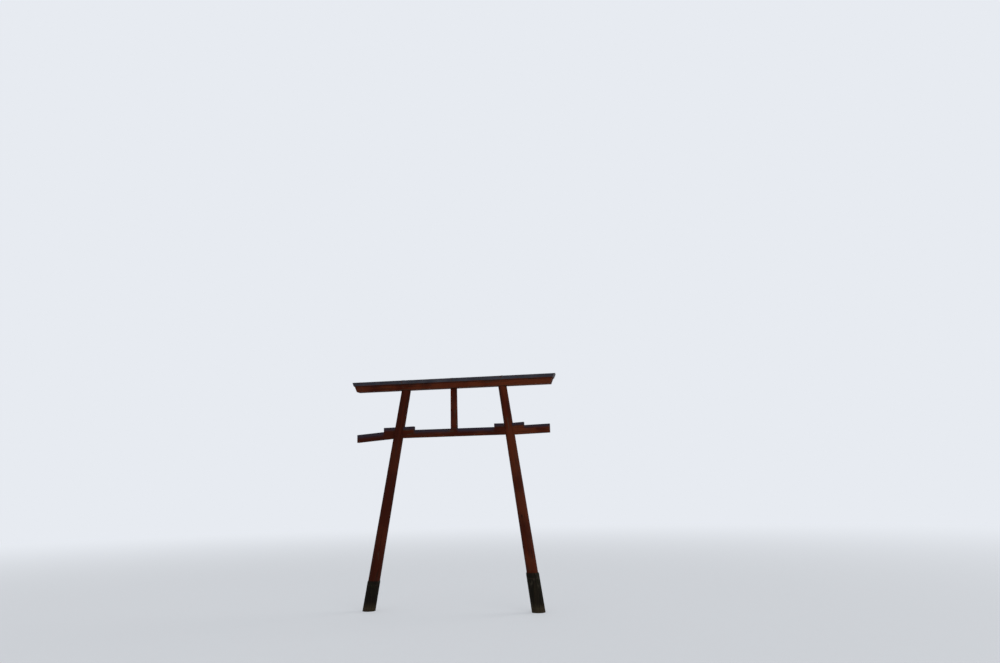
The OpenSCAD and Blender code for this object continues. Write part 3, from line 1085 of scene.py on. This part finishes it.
def capNails():
    first, last, strips = capLayout()
    joints = [(low.x + high.x) / 2 for low, high in strips]
    foot, skirt, strip = first[0].z, first[1].y - capSpec["inset"], strips[0][1].y - capSpec["inset"]
    rng = random.Random(3)
    spots = []
    x0, x1 = first[0].x + capSpec["nailEnds"], last[1].x - capSpec["nailEnds"]
    count = round((x1 - x0) / capSpec["nailGap"])
    for side in (-1, 1):
        for i in range(count + 1):
            x = x0 + (x1 - x0) * i / count + rng.uniform(-0.006, 0.006)
            if min(abs(x - joint) for joint in joints) > capSpec["nailClear"]:
                z = foot + capSpec["nailUp"] + rng.uniform(-0.003, 0.003)
                spots.append(((x, side * skirt, z), (0, side, 0)))
        for joint in joints:
            for up in capSpec["stripNails"]:
                spots.append(((joint + rng.uniform(-0.002, 0.002), side * strip, foot + up), (0, side, 0)))
    for node, way in (("left_cap_end", -1), ("right_cap_end", 1)):
        low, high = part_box(node)
        edge = high.x if way > 0 else low.x
        for y, up in capSpec["endNails"]:
            z = low.z + up + rng.uniform(-0.003, 0.003)
            spot = (edge - way * (high.z - z) * math.tan(lintelSlant), y + rng.uniform(-0.004, 0.004), z)
            spots.append((spot, (way * math.cos(lintelSlant), 0, -math.sin(lintelSlant))))
    return nailsAt("capNails", spots, "sheetHead", nailShape, nailIds)


capPieces = [sheetPiece("cap_sheet_%d" % i, i * 3.7, capSpec["fold"], capSpec["dent"]) for i in (1, 2, 3, 4)]
capPieces += [sheetPiece("cap_strip_%d" % i, i * 1.9, capSpec["stripFold"], 0.0) for i in (1, 2, 3)]
capPieces += [sheetPiece(node, 0.0, 0.0, 0.0) for node in ("left_cap_end", "right_cap_end")]
capPieces += [hem(), capNails()]
print("cap made:", len(capPieces), "pieces")


# floor, light and camera
studio = {
    "floorTone": (0.62, 0.64, 0.67),
    "floorFleck": (0.70, 0.71, 0.73),
    "backTone": (0.80, 0.83, 0.88),
    "skyTone": (0.96, 0.98, 1.0),
    "skyLight": 0.62,
    "fadeFrom": 7.0,
    "fadeTo": 34.0,
    "lamps": [
        ("softFront", (9.0, -13.0, 4.0), 45.0, 1.00, (1.0, 0.975, 0.94)),
        ("softRight", (14.0, 8.0, 11.0), 30.0, 0.55, (1.0, 0.965, 0.92)),
    ],
}


def pale(sheet):
    # what the camera, gloss and glass see of the background
    ways = sheet.node("ShaderNodeLightPath").socket.node.outputs
    seen = [Wire(sheet, ways[label]) for label in ("Is Camera Ray", "Is Glossy Ray", "Is Transmission Ray")]
    return seen[0].maths("MAXIMUM", seen[1]).maths("MAXIMUM", seen[2])


world = bpy.data.worlds.new("studio")
bpy.context.scene.world = world
world.use_nodes = True
world.node_tree.nodes.clear()
sheet = Sheet(world.node_tree)
light, back = (sheet.node("ShaderNodeBackground", None, {"Color": colour(tone), "Strength": strength})
               for tone, strength in ((studio["skyTone"], studio["skyLight"]), (studio["backTone"], 1.0)))
seen = sheet.node("ShaderNodeMixShader", None, [pale(sheet), light, back])
sheet.node("ShaderNodeOutputWorld", None, [seen])

floorFinish, sheet, spot = newFinish("studioFloor")
away = sheet.node("ShaderNodeVectorMath", {"operation": "LENGTH"}, [spot], out=1)
mottle = sheet.grains(spot, 3.0, 3.0, 0.5)
flecked = sheet.blend(mottle * 0.15, studio["floorTone"], studio["floorFleck"])
plain = sheet.node("ShaderNodeBsdfPrincipled", None, {"Base Color": flecked, "Roughness": 0.8})
glow = sheet.node("ShaderNodeEmission", None, {"Color": colour(studio["backTone"]), "Strength": 1.0})
lightening = (0.35 + sheet.step(away, studio["fadeFrom"], studio["fadeTo"]) * 0.65) * pale(sheet)
seen = sheet.node("ShaderNodeMixShader", None, [lightening, plain, glow])
sheet.node("ShaderNodeOutputMaterial", None, [seen])
bm = bmesh.new()
bmesh.ops.create_grid(bm, x_segments=40, y_segments=40, size=90.0)
floor = show("floor", bm)
floor.data.materials.append(floorFinish)

for name, place, spread, power, tone in studio["lamps"]:
    # broad even light from one direction, so that the floor has no bright patch
    lamp = bpy.data.objects.new(name, bpy.data.lights.new(name, "SUN"))
    lamp.data.angle, lamp.data.energy, lamp.data.color = math.radians(spread), power, tone
    lamp.location = place
    lamp.rotation_euler = (-Vector(place)).to_track_quat("-Z", "Y").to_euler()
    bpy.context.scene.collection.objects.link(lamp)

lens = {"place": (5.9065, -15.73, 2.269), "yaw": 11.77, "pitch": 10.23, "roll": 1.29,
        "length": 30.6, "sensor": 36.0, "reach": 400.0}
camera = bpy.data.objects.new("camera", bpy.data.cameras.new("camera"))
view = camera.data
view.lens, view.sensor_width, view.clip_end = lens["length"], lens["sensor"], lens["reach"]
turned = Matrix.Identity(4)
for degrees, axis in ((lens["yaw"], "Z"), (lens["pitch"], "X"), (lens["roll"], "Y"), (90, "X")):
    turned = turned @ Matrix.Rotation(math.radians(degrees), 4, axis)
camera.matrix_world = Matrix.Translation(lens["place"]) @ turned
bpy.context.scene.collection.objects.link(camera)
bpy.context.scene.camera = camera
bpy.context.scene.view_settings.view_transform = "Standard"
print("studio ready")
